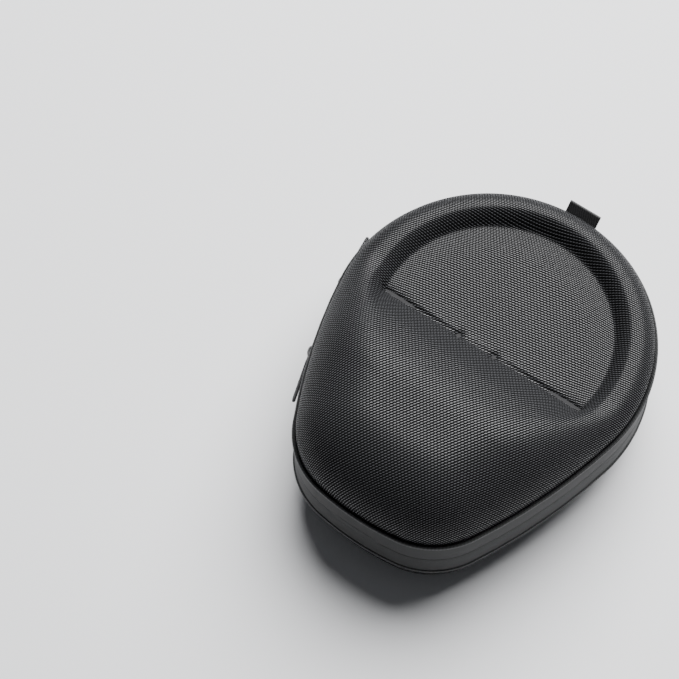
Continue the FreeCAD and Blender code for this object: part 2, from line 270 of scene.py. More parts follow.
# ---- Outline geometry ----
def side_centre(outline):
    """Centre of the left side's arc, and the y of the corners' centres and of the flat end's."""
    to_round = outline.side_radius - ROUND_R
    to_corner = outline.side_radius - outline.corner_radius
    end_y = outline.hinge_radius - LENGTH / 2
    spare = outline.hinge_radius - outline.corner_radius
    corner_y = end_y - math.sqrt(spare ** 2 - outline.corner_offset ** 2)
    step = Vector((-outline.corner_offset, corner_y - ROUND_Y))
    along = (to_round ** 2 - to_corner ** 2 + step.length_squared) / (2 * step.length)
    across = math.sqrt(to_round ** 2 - along ** 2)
    way = step.normalized()
    return way.x * along - way.y * across, ROUND_Y + way.y * along + way.x * across, corner_y, end_y


def outline_arcs():
    """Centre x, centre y, radius, first angle and last angle of each arc, anticlockwise."""
    outline = bpy.context.scene.case_outline
    side_x, side_y, corner_y, end_y = side_centre(outline)
    shoulder = math.atan2(ROUND_Y - side_y, side_x)
    hip = math.atan2(corner_y - side_y, outline.corner_offset + side_x)
    heel = math.atan2(corner_y - end_y, outline.corner_offset)
    half = math.pi
    return [
        (0.0, ROUND_Y, ROUND_R, shoulder, half - shoulder),
        (side_x, side_y, outline.side_radius, half - shoulder, half - hip),
        (-outline.corner_offset, corner_y, outline.corner_radius, half - hip, half - heel),
        (0.0, end_y, outline.hinge_radius, half - heel, 2 * half + heel),
        (outline.corner_offset, corner_y, outline.corner_radius, heel, hip),
        (-side_x, side_y, outline.side_radius, hip, shoulder),
    ]


def nearest_arc(x, y):
    """For plan points: depth inside the outline, outward direction and distance along the outline."""
    depth = np.full(x.shape, 10.0)
    out_x = np.zeros(x.shape)
    out_y = np.ones(x.shape)
    along = np.zeros(x.shape)
    run = 0.0
    for cx, cy, radius, first, last in outline_arcs():
        dx = x - cx
        dy = y - cy
        reach = np.maximum(np.hypot(dx, dy), 1e-9)
        turn = np.mod(np.arctan2(dy, dx) - first, 2 * math.pi)
        turn = np.where(turn > 2 * math.pi - 1e-6, 0.0, turn)
        here = (turn <= last - first + 1e-6) & (radius - reach < depth)
        depth = np.where(here, radius - reach, depth)
        out_x = np.where(here, dx / reach, out_x)
        out_y = np.where(here, dy / reach, out_y)
        along = np.where(here, run + turn * radius, along)
        run += (last - first) * radius
    return depth, out_x, out_y, along


def outline_length():
    """Length once round the outline."""
    return sum((last - first) * radius for _, _, radius, first, last in outline_arcs())


def outline_point(along, inset):
    """A point on the outline moved in by inset, and its outward direction."""
    along = along % outline_length()
    for cx, cy, radius, first, last in outline_arcs():
        run = (last - first) * radius
        if along <= run:
            angle = first + along / radius
            out = Vector((math.cos(angle), math.sin(angle), 0.0))
            return Vector((cx, cy, 0.0)) + out * (radius - inset), out
        along -= run
    return outline_point(0.0, inset)


def smooth(value):
    """Eased step from 0 to 1."""
    value = np.clip(value, 0.0, 1.0)
    return value * value * (3 - 2 * value)


def rolled(depth, reach, lead):
    """Quarter-round rise from the edge to 1 at depth = reach."""
    at = np.clip((lead + depth) / reach, 0.0, 1.0)
    return np.sqrt(1 - (1 - at) ** 2)


def settle(value, softness):
    """value, levelling off at 1 with a soft corner."""
    spare = 1 - value
    return 1 - 0.5 * (spare + np.sqrt(spare * spare + softness * softness))


def hump(offset, width):
    """A rounded hump of height 1 that dies away over width."""
    return np.exp(-(offset / width) ** 2)


def lid_rise(x, y, layer):
    """Height above the band of the lid surface that lies layer inside the cover's face."""
    lid = bpy.context.scene.case_lid
    depth = nearest_arc(x, y)[0] - bpy.context.scene.case_outline.band_wall - layer
    domed = smooth((lid.rise_start - y) / lid.rise_run)
    top = lid.rim_rise + (DOME_RISE - lid.rim_rise) * domed - layer
    reach = lid.rim_roll + (lid.dome_roll - lid.rim_roll) * domed - layer
    body = top * rolled(depth, reach, lid.edge_lead)
    centre_y = ROUND_Y + lid.recess_shift
    chord_y = ROUND_Y - lid.chord_drop
    across = (lid.recess_radius + lid.recess_wall + layer - np.hypot(x, y - centre_y)) / lid.recess_wall
    along = (y - chord_y + lid.flank_run + layer) / lid.flank_run
    sunk = settle(np.clip(across, 0, 3) ** 1.5, 0.05) * settle(np.clip(along, 0, 3) ** 1.8, 0.03)
    return body + (lid.floor_rise - layer - body) * sunk


def crease_detail(x, y):
    """Pressed ridge along the chord, the groove beside it and the two puckers in it."""
    lid = bpy.context.scene.case_lid
    past = ROUND_Y - lid.chord_drop - y
    inside = smooth((lid.recess_radius - np.hypot(x, y - ROUND_Y - lid.recess_shift)) / lid.crease_fade + 0.9)
    deeper = 1 + 1.2 * smooth((np.abs(x) - lid.crease_calm) / 0.05)
    ridge = lid.crease_ridge * hump(past + lid.ridge_back, lid.ridge_wide)
    groove = lid.crease_groove * deeper * hump(past - lid.groove_past, lid.groove_wide * deeper)
    dents = sum(hump(x - spot, lid.wrinkle_wide) * hump(past - lid.wrinkle_past, lid.wrinkle_long)
                for spot in (lid.wrinkle_first, lid.wrinkle_second))
    return (ridge - groove - lid.wrinkle_depth * dents) * inside


def base_drop(x, y, layer):
    """Depth below the band of a base surface that lies layer inside the cover's face."""
    lid = bpy.context.scene.case_lid
    depth = nearest_arc(x, y)[0] - bpy.context.scene.case_outline.band_wall - layer
    radius = lid.base_roll - layer
    at = np.clip(depth / radius, 0.0, 1.0)
    return BAND_BOTTOM - layer - radius + radius * np.sqrt(1 - (1 - at) ** 2)


# ---- Mesh helpers ----
def plan_grid(count, inset, depth_of=None, centre_y=-0.005):
    """A square grid pressed to an outline moved in by inset: squares in the middle, rings outside."""
    depth_of = depth_of or (lambda x, y: nearest_arc(x, y)[0])
    bm = bmesh.new()
    bmesh.ops.create_grid(bm, x_segments=count, y_segments=count, size=1.0)
    flat = np.array([v.co[:2] for v in bm.verts])
    a, b = flat[:, 0], flat[:, 1]
    ring = np.maximum(np.abs(a), np.abs(b))
    safe = np.where(ring == 0, 1, ring)
    quarter = math.pi / 4
    angle = np.where(np.abs(a) >= np.abs(b),
                     quarter * b / safe * np.sign(a) + np.where(a < 0, math.pi, 0),
                     2 * quarter * np.sign(b) - quarter * a / safe * np.sign(b))
    low = np.zeros(angle.shape)
    high = np.full(angle.shape, LENGTH)
    for _ in range(40):
        middle = (low + high) / 2
        inside = depth_of(middle * np.cos(angle), centre_y + middle * np.sin(angle)) > inset
        low = np.where(inside, middle, low)
        high = np.where(inside, high, middle)
    return bm, ring * low * np.cos(angle), centre_y + ring * low * np.sin(angle)


def verts_of(geom):
    return [g for g in geom if isinstance(g, bmesh.types.BMVert)]


def edges_of(geom):
    return [g for g in geom if isinstance(g, bmesh.types.BMEdge)]


def bevel(bm, edges, offset, segments):
    bmesh.ops.bevel(bm, geom=edges, offset=offset, offset_type="OFFSET", affect="EDGES", segments=segments,
                    profile=0.5, material=-1)


def set_heights(bm, x, y, z):
    """Puts the grid's vertices at their plan points and heights."""
    for vert, px, py, pz in zip(bm.verts, x, y, z):
        vert.co = (px, py, pz)


def wrap_weave(bm, stretch):
    """UV in metres that follows a moulded cloth: plan position pushed outwards by the fall at the edge."""
    layer = bm.loops.layers.uv.new("weave")
    bm.verts.index_update()
    co = np.array([v.co for v in bm.verts])
    depth, out_x, out_y, _ = nearest_arc(co[:, 0], co[:, 1])
    fall = stretch(co, depth)
    u = co[:, 0] + out_x * fall
    v = co[:, 1] + out_y * fall
    for face in bm.faces:
        for loop in face.loops:
            index = loop.vert.index
            loop[layer].uv = (u[index], v[index])


def wrap_length(bm):
    """UV in metres for a piece that runs round the outline: u along it, v up and across the section."""
    layer = bm.loops.layers.uv.new("weave")
    bm.verts.index_update()
    co = np.array([v.co for v in bm.verts])
    depth, _, _, along = nearest_arc(co[:, 0], co[:, 1])
    total = outline_length()
    for face in bm.faces:
        runs = [along[loop.vert.index] for loop in face.loops]
        split = max(runs) - min(runs) > total / 2
        for loop, run in zip(face.loops, runs):
            if split and run < total / 2:
                run += total
            index = loop.vert.index
            loop[layer].uv = (run, co[index, 2] - depth[index])


def sweep(bm, profile, arcs=None, density=2.5):
    """Spins a closed section of (inset, height) points round the outline's arcs."""
    arcs = arcs or outline_arcs()
    whole = len(arcs) == 6
    cx, cy, radius, first, _ = arcs[0]
    ring = []
    for inset, height in profile:
        reach = radius - inset
        ring.append(bm.verts.new((cx + reach * math.cos(first), cy + reach * math.sin(first), height)))
    edges = [bm.edges.new((ring[i - 1], ring[i])) for i in range(len(ring))]
    geom = ring + edges
    if not whole:
        bm.faces.new(ring)
    for cx, cy, radius, first, last in arcs:
        turns = max(4, round(math.degrees(last - first) / density))
        spun = bmesh.ops.spin(bm, geom=geom, cent=(cx, cy, 0), axis=(0, 0, 1), angle=last - first,
                              steps=turns, use_merge=False, use_normal_flip=False)
        geom = spun["geom_last"]
    if not whole:
        bmesh.ops.contextual_create(bm, geom=edges_of(geom))
    bmesh.ops.remove_doubles(bm, verts=bm.verts, dist=WELD)
    bmesh.ops.recalc_face_normals(bm, faces=bm.faces)


def rounded_section(inset_out, inset_in, low, high, radius, points=4):
    """A rounded rectangle section as (inset, height) points."""
    section = []
    corners = [
        (inset_out + radius, low + radius, math.pi, 1.5 * math.pi),
        (inset_in - radius, low + radius, 1.5 * math.pi, 2 * math.pi),
        (inset_in - radius, high - radius, 0, 0.5 * math.pi),
        (inset_out + radius, high - radius, 0.5 * math.pi, math.pi),
    ]
    for ci, ch, first, last in corners:
        for step in range(points + 1):
            turn = first + (last - first) * step / points
            section.append((ci + radius * math.cos(turn), ch + radius * math.sin(turn)))
    return section


def place(bm, name, maker, body, *nodes, slot=None, shade=True):
    """Turns a bmesh into a finished piece of the case."""
    mesh = bpy.data.meshes.new(name)
    bm.to_mesh(mesh)
    bm.free()
    if shade:
        mesh.shade_smooth()
    piece = bpy.data.objects.new(name, mesh)
    bpy.context.scene.collection.objects.link(piece)
    mesh.materials.append(finish_of(maker))
    if body:
        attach(piece, body)
    if nodes:
        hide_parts(*nodes)
    return piece


# ---- Form of the cover's weave: shares of a yarn's height, and how its crowns lean ----
CROWN_FALL_ALONG = 0.7
CROWN_FALL_ACROSS = 1.3
DIP_FALL_ALONG = 0.95
DIP_FALL_ACROSS = 0.6
DIP_LEVEL = 0.16
CROWN_GAIN = 1.3
LEAN_TURNS_AT = 0.006
LEAN_RATE = 40
LEAN_LIMITS = (-0.6, 0.75)

# ---- Pitches of the small weaves, in metres ----
BAND_RIB = 0.0011
PICK_PITCH = 0.0008
STITCH_WIDTH = 0.0004
GROSGRAIN_RIB = 0.0009
ELASTIC_RIB = 0.0008
ELASTIC_KNIT = 0.0007
STRAND = 0.0021
WEBBING_RIB = 0.0014
WEBBING_PICK = 0.0009


# ---- Shader expressions ----
class Signal:
    """A socket whose operators add Math nodes."""

    def __init__(self, recipe, socket):
        self.recipe = recipe
        self.socket = socket

    def math(self, operation, *others):
        return self.recipe.math(operation, self, *others)

    def __add__(self, other):
        return self.math("ADD", other)

    def __radd__(self, other):
        return self.recipe.math("ADD", other, self)

    def __sub__(self, other):
        return self.math("SUBTRACT", other)

    def __rsub__(self, other):
        return self.recipe.math("SUBTRACT", other, self)

    def __mul__(self, other):
        return self.math("MULTIPLY", other)

    def __rmul__(self, other):
        return self.recipe.math("MULTIPLY", other, self)

    def __truediv__(self, other):
        return self.math("DIVIDE", other)

    def __rtruediv__(self, other):
        return self.recipe.math("DIVIDE", other, self)

    def clamped(self, low=0.0, high=1.0):
        return self.math("MAXIMUM", low).math("MINIMUM", high)

    def swing(self):
        """Sine of an angle, from 0 to 1."""
        return self.math("SINE") * 0.5 + 0.5

    def wave(self, pitch):
        """A ripple from 0 to 1, one to each pitch."""
        return (self * (2 * math.pi / pitch)).swing()


class Recipe:
    """A node material with one Principled shader."""

    def __init__(self, name):
        self.material = bpy.data.materials.new(name)
        self.material.use_nodes = True
        self.tree = self.material.node_tree
        self.shader = self.tree.nodes["Principled BSDF"]

    def node(self, kind, settings=None, values=None, output=0):
        item = self.tree.nodes.new(kind)
        for key, value in (settings or {}).items():
            setattr(item, key, value)
        for key, value in (values or {}).items():
            self.feed(item.inputs[key], value)
        return Signal(self, item.outputs[output])

    def feed(self, socket, value):
        if isinstance(value, Signal):
            self.tree.links.new(value.socket, socket)
        else:
            socket.default_value = value

    def math(self, operation, *values):
        return self.node("ShaderNodeMath", {"operation": operation}, dict(enumerate(values)))

    def noise(self, vector, scale, detail=2.0, roughness=0.5):
        return self.node("ShaderNodeTexNoise", None,
                         {"Vector": vector, "Scale": scale, "Detail": detail, "Roughness": roughness})

    def scaled(self, vector, factors):
        return self.node("ShaderNodeMapping", None, {"Vector": vector, "Scale": factors})

    def turned(self, vector, turn):
        return self.node("ShaderNodeMapping", None, {"Vector": vector, "Rotation": (0.0, 0.0, -turn)})

    def split(self, vector):
        first = self.node("ShaderNodeSeparateXYZ", None, {0: vector})
        return [Signal(self, out) for out in first.socket.node.outputs]

    def uv(self):
        return self.node("ShaderNodeUVMap", {"uv_map": "weave"})

    def spot(self):
        return self.node("ShaderNodeTexCoord", None, None, "Object")

    def blend(self, share, low, high):
        """Colour low to high by share."""
        low, high = (c if isinstance(c, Signal) else (*c, 1.0) for c in (low, high))
        return self.node("ShaderNodeMix", {"data_type": "RGBA"}, {0: share, 6: low, 7: high}, 2)

    def shades(self, share, tone, dark, light):
        """One tone, from dark times it to light times it by share."""
        return self.blend(share, tuple(c * dark for c in tone), tuple(c * light for c in tone))

    def bump(self, height, distance, strength=1.0):
        return self.node("ShaderNodeBump", None,
                         {"Height": height, "Distance": distance, "Strength": strength})

    def finish(self, **sockets):
        for name, value in sockets.items():
            self.feed(self.shader.inputs[name.replace("_", " ")], value)
        return self.material


def woven_cells(recipe, uv, length, width, turn, lean):
    """Plain weave: heights of the slanted yarns that lie over and of those that dip under."""
    u, v, _ = recipe.split(recipe.scaled(recipe.turned(uv, turn), (1 / length, 1 / width, 1.0)))
    parity = (u.math("FLOOR") + v.math("FLOOR")).math("PINGPONG", 1.0)
    pu = (u.math("FRACT") - 0.5) * 2.0
    pv = (v.math("FRACT") - 0.5) * 2.0
    slant = pv + pu * lean
    over = (1 - pu * pu * CROWN_FALL_ALONG) * (1 - slant * slant * CROWN_FALL_ACROSS)
    under = (1 - pu * pu * DIP_FALL_ALONG) * (1 - pv * pv * DIP_FALL_ACROSS)
    return over, under, parity


def nylon_cloth():
    """Black ballistic nylon: bright yarn crowns between gaps made near-black with painted shade, leaning the
    other way past the crease.
    """
    look = bpy.context.scene.case_finish
    recipe = Recipe("nylon_cloth")
    uv = recipe.uv()
    _, v, _ = recipe.split(uv)
    lean = ((v - LEAN_TURNS_AT) * LEAN_RATE).clamped(*LEAN_LIMITS)
    over, under, parity = woven_cells(recipe, uv, look.yarn_length, look.yarn_width, look.yarn_turn, lean)
    height = (over * parity).math("MAXIMUM", 0.0) + under * (1 - parity) * DIP_LEVEL
    shift = recipe.noise(uv, scale=700.0, detail=3.0)
    broad = recipe.noise(uv, scale=25.0, detail=2.0)
    crown = ((height - DIP_LEVEL) * CROWN_GAIN * (0.68 + shift * 0.4 + broad * 0.2)).clamped()
    # The gaps between yarns get a near-black base colour: painted shade between the yarns.
    colour = recipe.blend(crown, tuple(look.nylon_gap_shade), tuple(look.nylon_crown))
    recipe.shader.inputs["Specular IOR Level"].default_value = 0.1
    recipe.shader.inputs["Coat Roughness"].default_value = 0.40
    recipe.shader.inputs["Coat IOR"].default_value = 1.52
    return recipe.finish(Base_Color=colour, Roughness=0.85 - crown * 0.25, Coat_Weight=crown,
                         Normal=recipe.bump(height, distance=0.0003, strength=1.0))


def tape_cloth():
    """Smooth close-woven band with fine ribs and a stitch line each side of the coil."""
    look = bpy.context.scene.case_finish
    recipe = Recipe("tape_cloth")
    uv = recipe.uv()
    u, v, _ = recipe.split(uv)
    ribs = v.wave(BAND_RIB)
    picks = (u * (2 * math.pi / PICK_PITCH) + ribs * 3.0).swing()
    fuzz = recipe.noise(recipe.scaled(uv, (300.0, 1500.0, 1.0)), scale=1.0, detail=3.0)
    row = 1 - (((v - PARTING).math("ABSOLUTE") - look.stitch_row) / STITCH_WIDTH).math("ABSOLUTE")
    dash = (u * (2 * math.pi / look.stitch_pitch)).math("SINE") + 0.55
    stitch = (row * 2).clamped() * (dash * 3).clamped()
    height = ribs * 0.3 + picks * 0.2 + fuzz * 0.3
    tone = look.tape
    colour = recipe.shades(height.math("MINIMUM", 1.0), tone, 0.6, 1.4)
    colour = recipe.blend(stitch, colour, tuple(c * 1.7 for c in tone))
    return recipe.finish(Base_Color=colour, Roughness=0.66 + fuzz * 0.1,
                         Normal=recipe.bump(height * 0.3 + stitch, distance=0.0003, strength=0.7))


def binding_cloth():
    """Grosgrain binding: close ribs across the tape."""
    look = bpy.context.scene.case_finish
    recipe = Recipe("binding_cloth")
    uv = recipe.uv()
    u = recipe.split(uv)[0]
    ribs = u.wave(GROSGRAIN_RIB)
    fuzz = recipe.noise(recipe.scaled(uv, (1500.0, 400.0, 1.0)), scale=1.0, detail=3.0)
    height = ribs * 0.6 + fuzz * 0.4
    tone = look.tape
    colour = recipe.shades(height, tone, 0.5, 1.5)
    return recipe.finish(Base_Color=colour, Roughness=0.7 + fuzz * 0.1,
                         Normal=recipe.bump(height, distance=0.0002, strength=0.7))


def elastic_cloth():
    """Knitted elastic: ribs along it, with gathers."""
    look = bpy.context.scene.case_finish
    recipe = Recipe("elastic_cloth")
    u, v, _ = recipe.split(recipe.uv())
    ribs = v.wave(ELASTIC_RIB)
    knit = u.wave(ELASTIC_KNIT)
    height = ribs * 0.6 + knit * 0.4
    tone = look.webbing
    colour = recipe.shades(height, tone, 0.6, 2.2)
    return recipe.finish(Base_Color=colour, Roughness=0.7 + ribs * 0.1,
                         Normal=recipe.bump(height, distance=0.0002, strength=0.7))


def net_cloth():
    """Open net: two sets of slanted threads with holes between."""
    look = bpy.context.scene.case_finish
    pitch = bpy.context.scene.case_inside.net_pitch
    recipe = Recipe("net_cloth")
    u, v, _ = recipe.split(recipe.uv())
    first = ((u + v) * (math.pi / pitch)).math("SINE").math("ABSOLUTE")
    second = ((u - v) * (math.pi / pitch)).math("SINE").math("ABSOLUTE")
    open_part = first.math("MINIMUM", second)
    thread = 1 - ((open_part - 0.32) * 9).clamped()
    twist = (u * 2).wave(pitch)
    tone = look.webbing
    colour = recipe.shades(twist, tone, 0.5, 1.2)
    return recipe.finish(Base_Color=colour, Roughness=0.6 + twist * 0.1, Alpha=thread,
                         Normal=recipe.bump(1 - open_part, distance=0.0002, strength=0.7))


def coil_plastic():
    """Black nylon coil, lighter in random patches as painted sheen; those patches are also rougher."""
    look = bpy.context.scene.case_finish
    recipe = Recipe("coil_plastic")
    scuff_and_sheen = recipe.noise(recipe.uv(), scale=300.0, detail=2.0)
    tone = look.metal
    # Lighter colour in the random patches: painted sheen; the same patches are rougher.
    colour = recipe.shades(scuff_and_sheen, tone, 0.7, 1.8)
    return recipe.finish(Base_Color=colour, Roughness=0.28 + scuff_and_sheen * 0.2,
                         Normal=recipe.bump(scuff_and_sheen, distance=0.00005, strength=0.4))


def braid_cloth():
    """Braided puller cord: strands that cross over it both ways."""
    look = bpy.context.scene.case_finish
    recipe = Recipe("braid_cloth")
    x, y, z = recipe.split(recipe.spot())
    run = y * 1.03
    first = (run + z).wave(STRAND)
    second = (run - z).wave(STRAND)
    strand = first.math("MAXIMUM", second)
    tone = look.webbing
    colour = recipe.shades(strand, tone, 0.5, 2.6)
    return recipe.finish(Base_Color=colour, Roughness=0.5 + first * 0.1,
                         Normal=recipe.bump(strand, distance=0.0003, strength=0.9))


def cord_cloth():
    """Twisted cord look for the piping: slanted strands along the run."""
    look = bpy.context.scene.case_finish
    recipe = Recipe("cord_cloth")
    u, v, _ = recipe.split(recipe.uv())
    strand = (u + v * 0.6).wave(STRAND)
    tone = look.tape
    colour = recipe.shades(strand, tone, 0.8, 1.9)
    return recipe.finish(Base_Color=colour, Roughness=0.42 + strand * 0.06,
                         Normal=recipe.bump(strand, distance=0.00012, strength=0.6))


def webbing_cloth():
    """Tight webbing: chevron ribs."""
    look = bpy.context.scene.case_finish
    recipe = Recipe("webbing_cloth")
    x, y, z = recipe.split(recipe.spot())
    rib = (x + (y + z) * 0.5).wave(WEBBING_RIB)
    pick = (y + z).wave(WEBBING_PICK)
    height = rib * 0.6 + pick * 0.4
    tone = look.webbing
    colour = recipe.shades(height, tone, 0.5, 1.6)
    return recipe.finish(Base_Color=colour, Roughness=0.6,
                         Normal=recipe.bump(height, distance=0.00025, strength=0.8))


def brushed_lining():
    """Short-pile lining with a soft bloom."""
    look = bpy.context.scene.case_finish
    recipe = Recipe("brushed_lining")
    spot = recipe.spot()
    nap = recipe.noise(spot, scale=2200.0, detail=4.0, roughness=0.7)
    tuft = recipe.noise(spot, scale=520.0, detail=3.0, roughness=0.6)
    drift = recipe.noise(spot, scale=35.0, detail=3.0)
    tone = look.lining
    share = (nap * 0.4 + tuft * 0.4 + drift * 0.2).math("MINIMUM", 1.0)
    share = ((share - 0.3) * 2.5).clamped()
    colour = recipe.shades(share, tone, 0.5, 1.6)
    recipe.shader.inputs["Sheen Weight"].default_value = 0.25
    return recipe.finish(Base_Color=colour, Roughness=0.92,
                         Normal=recipe.bump(nap * 0.5 + tuft * 0.5, distance=0.0006, strength=0.8))


def painted_zinc():
    """Black painted die-cast metal, worn a little brighter in patches."""
    look = bpy.context.scene.case_finish
    recipe = Recipe("painted_zinc")
    spot = recipe.spot()
    grain = recipe.noise(spot, scale=900.0, detail=3.0)
    wear = recipe.noise(spot, scale=160.0, detail=2.0)
    tone = look.metal
    colour = recipe.shades(wear, tone, 0.8, 2.0)
    return recipe.finish(Base_Color=colour, Roughness=0.32 + grain * 0.12, Metallic=0.4,
                         Normal=recipe.bump(grain, distance=0.00004, strength=0.5))


def foam():
    """Closed-cell foam at the cut edges."""
    recipe = Recipe("foam")
    cells = recipe.noise(recipe.spot(), scale=2600.0, detail=3.0)
    colour = recipe.blend(cells, (0.012, 0.012, 0.013), (0.03, 0.03, 0.032))
    return recipe.finish(Base_Color=colour, Roughness=0.88,
                         Normal=recipe.bump(cells, distance=0.0002, strength=0.6))


def studio_floor():
    """Matt white floor, very slightly uneven in tone."""
    recipe = Recipe("studio_floor")
    drift = recipe.noise(recipe.spot(), scale=3.0, detail=2.0)
    tone = bpy.context.scene.case_stage.floor
    return recipe.finish(Base_Color=recipe.shades(drift, tone, 0.985, 1.0), Roughness=0.6)


MATERIALS = {}


def finish_of(maker):
    """One shared material per maker."""
    if maker.__name__ not in MATERIALS:
        MATERIALS[maker.__name__] = maker()
    return MATERIALS[maker.__name__]


# ---- Pieces ----
class BuildStep(Operator):
    """One group of pieces of the case."""
    bl_options = {"REGISTER"}

    def execute(self, context):
        self.build(context.scene)
        return {"FINISHED"}


def edge_wall(bm, edge_height, cuts=2):
    """Drops a straight wall from the open rim to edge_height, and returns its free edge."""
    rim = [e for e in bm.edges if e.is_boundary]
    grown = bmesh.ops.extrude_edge_only(bm, edges=rim)["geom"]
    for vert in verts_of(grown):
        vert.co.z = edge_height
    free = [e for e in edges_of(grown) if e.is_boundary]
    walls = {f for e in free for f in e.link_faces}
    tall = {e for f in walls for e in f.edges if abs(e.verts[0].co.z - e.verts[1].co.z) > LEVEL}
    bmesh.ops.subdivide_edges(bm, edges=list(tall), cuts=cuts, use_grid_fill=True)
    return free


def face_outwards(bm, upward):
    """Turns an open moulded face so that its crown faces up or down."""
    bmesh.ops.recalc_face_normals(bm, faces=bm.faces)
    if (sum(f.normal.z * f.calc_area() for f in bm.faces) > 0) != upward:
        bmesh.ops.reverse_faces(bm, faces=bm.faces)


def moulded_cloth(count, layer, height, edge, thickness, stretch, upward):
    """Cloth pressed over a mould: its face, its straight edge and a thickness inwards."""
    bm, x, y = plan_grid(count, bpy.context.scene.case_outline.band_wall + layer)
    set_heights(bm, x, y, height(x, y))
    edge_wall(bm, edge)
    wrap_weave(bm, stretch)
    face_outwards(bm, upward)
    bmesh.ops.solidify(bm, geom=bm.faces[:], thickness=thickness)
    return bm


def lid_stretch(co, depth):
    """How far the lid's cloth is pulled outwards, in metres."""
    lid = bpy.context.scene.case_lid
    return LID_PULL * np.clip(co[:, 2].max() - co[:, 2], 0, None) * (1 - smooth(depth / lid.dome_roll))


def base_stretch(co, depth):
    """How far the base's cloth is pulled outwards, in metres."""
    return BASE_PULL * np.clip(co[:, 2] - co[:, 2].min(), 0, None)


class CASE_OT_lid_shell(BuildStep):
    """Nylon cover and soft lining of the lid"""
    bl_idname = "case.lid_shell"
    bl_label = "Lid cover and lining"

    def build(self, scene):
        lid = scene.case_lid
        layer = lid.wall - lid.lining

        def outside(x, y):
            return BAND_TOP + lid_rise(x, y, 0.0) + crease_detail(x, y)

        def inside(x, y):
            return BAND_TOP + lid_rise(x, y, layer)

        bm = moulded_cloth(lid.mesh_count, 0.0, outside, BAND_TOP, lid.cover, lid_stretch, True)
        place(bm, "lid_nylon", nylon_cloth, "lid", "lid_cover", slot="nylon_weave")
        count = lid.mesh_count * 3 // 4
        bm = moulded_cloth(count, layer, inside, BAND_TOP, lid.lining + lid.pile, lid_stretch, True)
        place(bm, "lid_velour", brushed_lining, "lid", "lid_lining", slot="soft_lining")


class CASE_OT_base_shell(BuildStep):
    """Nylon cover, resting panel and soft lining of the base"""
    bl_idname = "case.base_shell"
    bl_label = "Base cover and lining"

    def build(self, scene):
        lid = scene.case_lid
        count = lid.mesh_count * 3 // 4
        bm = moulded_cloth(count, 0.0, lambda x, y: BAND_BOTTOM - base_drop(x, y, 0.0), BAND_BOTTOM,
                           lid.cover, base_stretch, False)
        place(bm, "base_nylon", nylon_cloth, "base", "base_cover", "base_bottom_panel",
              slot="nylon_weave")
        layer = lid.wall - lid.lining
        bm = moulded_cloth(count, layer, lambda x, y: BAND_BOTTOM - base_drop(x, y, layer), BAND_BOTTOM,
                           lid.lining, base_stretch, False)
        place(bm, "base_velour", brushed_lining, "base", "base_lining", slot="soft_lining")


class CASE_OT_foam(BuildStep):
    """Foam shells between cover and lining, and the coil's end stops"""
    bl_idname = "case.foam"
    bl_label = "Foam and end stops"

    def build(self, scene):
        for node, maker in (("lid_shell", foam), ("base_shell", foam), ("zip_end_stops", painted_zinc)):
            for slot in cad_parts[node].material_slots:
                slot.material = finish_of(maker)


class CASE_OT_bands(BuildStep):
    """Upper and lower halves of the zip band, and the bindings inside them"""
    bl_idname = "case.bands"
    bl_label = "Zip band"

    def build(self, scene):
        zips = scene.case_zip
        lid = scene.case_lid
        wall = scene.case_outline.band_wall
        for name, low, high, body, node in (
                ("lid_band", PARTING + zips.tape_gap, BAND_TOP, "lid", "lid_zip_band"),
                ("base_band", BAND_BOTTOM, PARTING - zips.tape_gap, "base", "base_zip_band")):
            bm = bmesh.new()
            sweep(bm, rounded_section(0.0, wall, low, high, BAND_EDGE))
            wrap_length(bm)
            place(bm, name, tape_cloth, body, node, slot="zip_tape")
        for name, body, node, lip in (("lid_inner_binding", "lid", "lid_binding", -1),
                                      ("base_inner_binding", "base", "base_binding", 1)):
            low, high = (corner.z for corner in box_of(node))
            bm = bmesh.new()
            sweep(bm, rounded_section(wall, wall + zips.binding, low, high, BINDING_EDGE))
            seam = high if lip < 0 else low
            flap = sorted((seam, seam + lip * zips.binding))
            far = wall + lid.wall + FLAP_REACH
            sweep(bm, rounded_section(wall + zips.binding * 0.8, far, *flap, FLAP_EDGE))
            wrap_length(bm)
            place(bm, name, binding_cloth, body, node, slot="binding_tape")


class CASE_OT_piping(BuildStep):
    """Corded piping along both edges of the band"""
    bl_idname = "case.piping"
    bl_label = "Piping"

    def build(self, scene):
        wall = scene.case_outline.band_wall
        for name, body, node in (("lid_piping_cord", "lid", "lid_piping"),
                                 ("base_piping_cord", "base", "base_piping")):
            low, high = box_of(node)
            bm = bmesh.new()
            proud = high.y - LENGTH / 2
            sweep(bm, rounded_section(-proud, wall - LAP, low.z, high.z, PIPING_EDGE, 5))
            wrap_length(bm)
            place(bm, name, cord_cloth, body, node, slot="piping")


def hinge_angle(point):
    """Angle of a plan point off the hinge's middle, seen from the flat end's arc centre."""
    centre_y = outline_arcs()[3][1]
    return abs(math.atan2(point.x, centre_y - point.y))


def arcs_past_hinge(half):
    """The outline from the corner on one side of the hinge round to the other, from half on."""
    arcs = outline_arcs()
    x, y, radius, _, hip = arcs[4]
    corner = Vector((x, y - arcs[3][1]))
    way = Vector((math.sin(half), -math.cos(half)))
    near = corner.dot(way)
    end = way * (near + math.sqrt(radius ** 2 - corner.length_squared + near ** 2)) - corner
    start = math.atan2(end.y, end.x)
    return [(x, y, radius, start, hip), *arcs[5:], *arcs[:2], (*arcs[2][:4], math.pi - start)]


def hinge_arc(half):
    """The stretch of the flat end within half of its middle."""
    x, y, radius, first, last = outline_arcs()[3]
    middle = (first + last) / 2
    return [(x, y, radius, middle - half, middle + half)]


